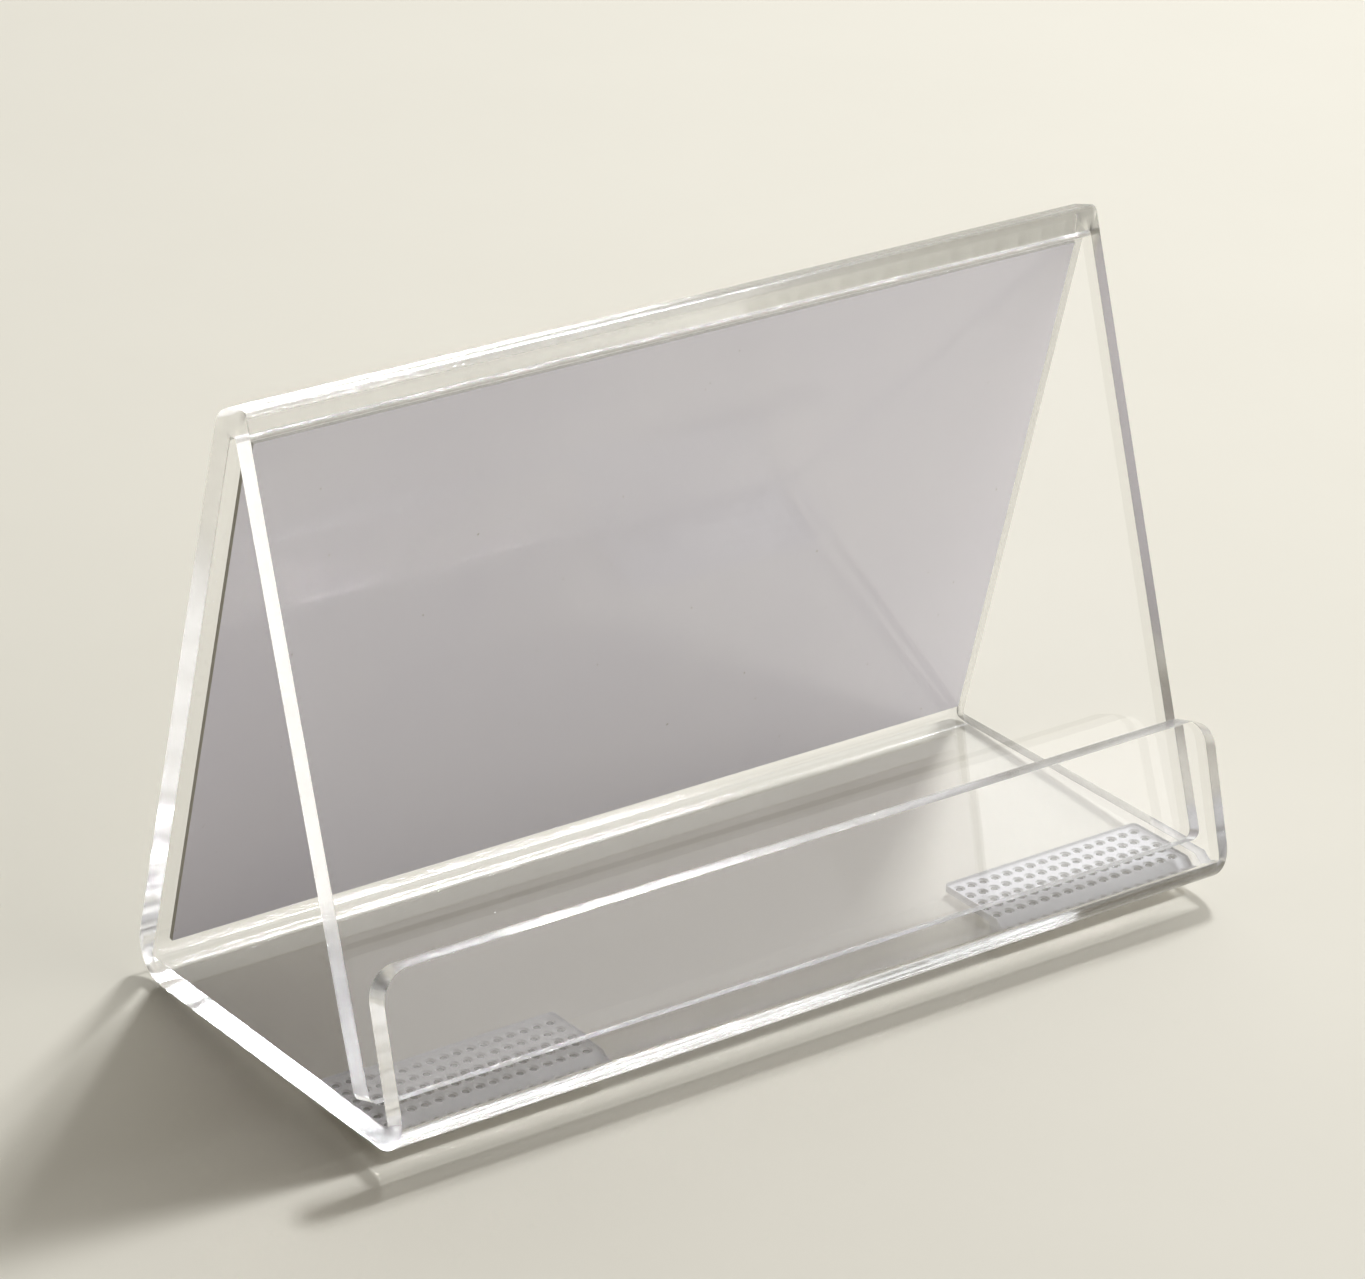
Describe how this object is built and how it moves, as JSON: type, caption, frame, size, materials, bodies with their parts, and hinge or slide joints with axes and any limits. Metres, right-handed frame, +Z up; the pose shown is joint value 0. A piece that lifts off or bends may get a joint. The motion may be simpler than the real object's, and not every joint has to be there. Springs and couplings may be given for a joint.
{
  "type": "acrylic sign holder",
  "caption": "Clear acrylic desk sign holder folded from one sheet: sloped front panel with a card lip, a sign sheet inside the back panel and bumpy rubber feet.",
  "frame": {"origin": "middle of the footprint, on the desk", "axes": "+X along the folds, to the right when seen from the lip side; +Y from the lip to the back panel; +Z up"},
  "size_m": [0.094, 0.0426, 0.0619],
  "materials": {
    "acrylic": "clear, polished faces and laser-cut edges",
    "sign": "smooth grey sheet",
    "rubber": "clear soft rubber with bumps",
    "film": "clear adhesive film"
  },
  "bodies": {
    "root": {"acrylic_body": "acrylic", "sign_sheet": "sign", "sign_adhesive": "film", "left_rubber_foot": "rubber", "left_foot_adhesive": "film", "right_rubber_foot": "rubber", "right_foot_adhesive": "film"}
  },
  "joints": []
}
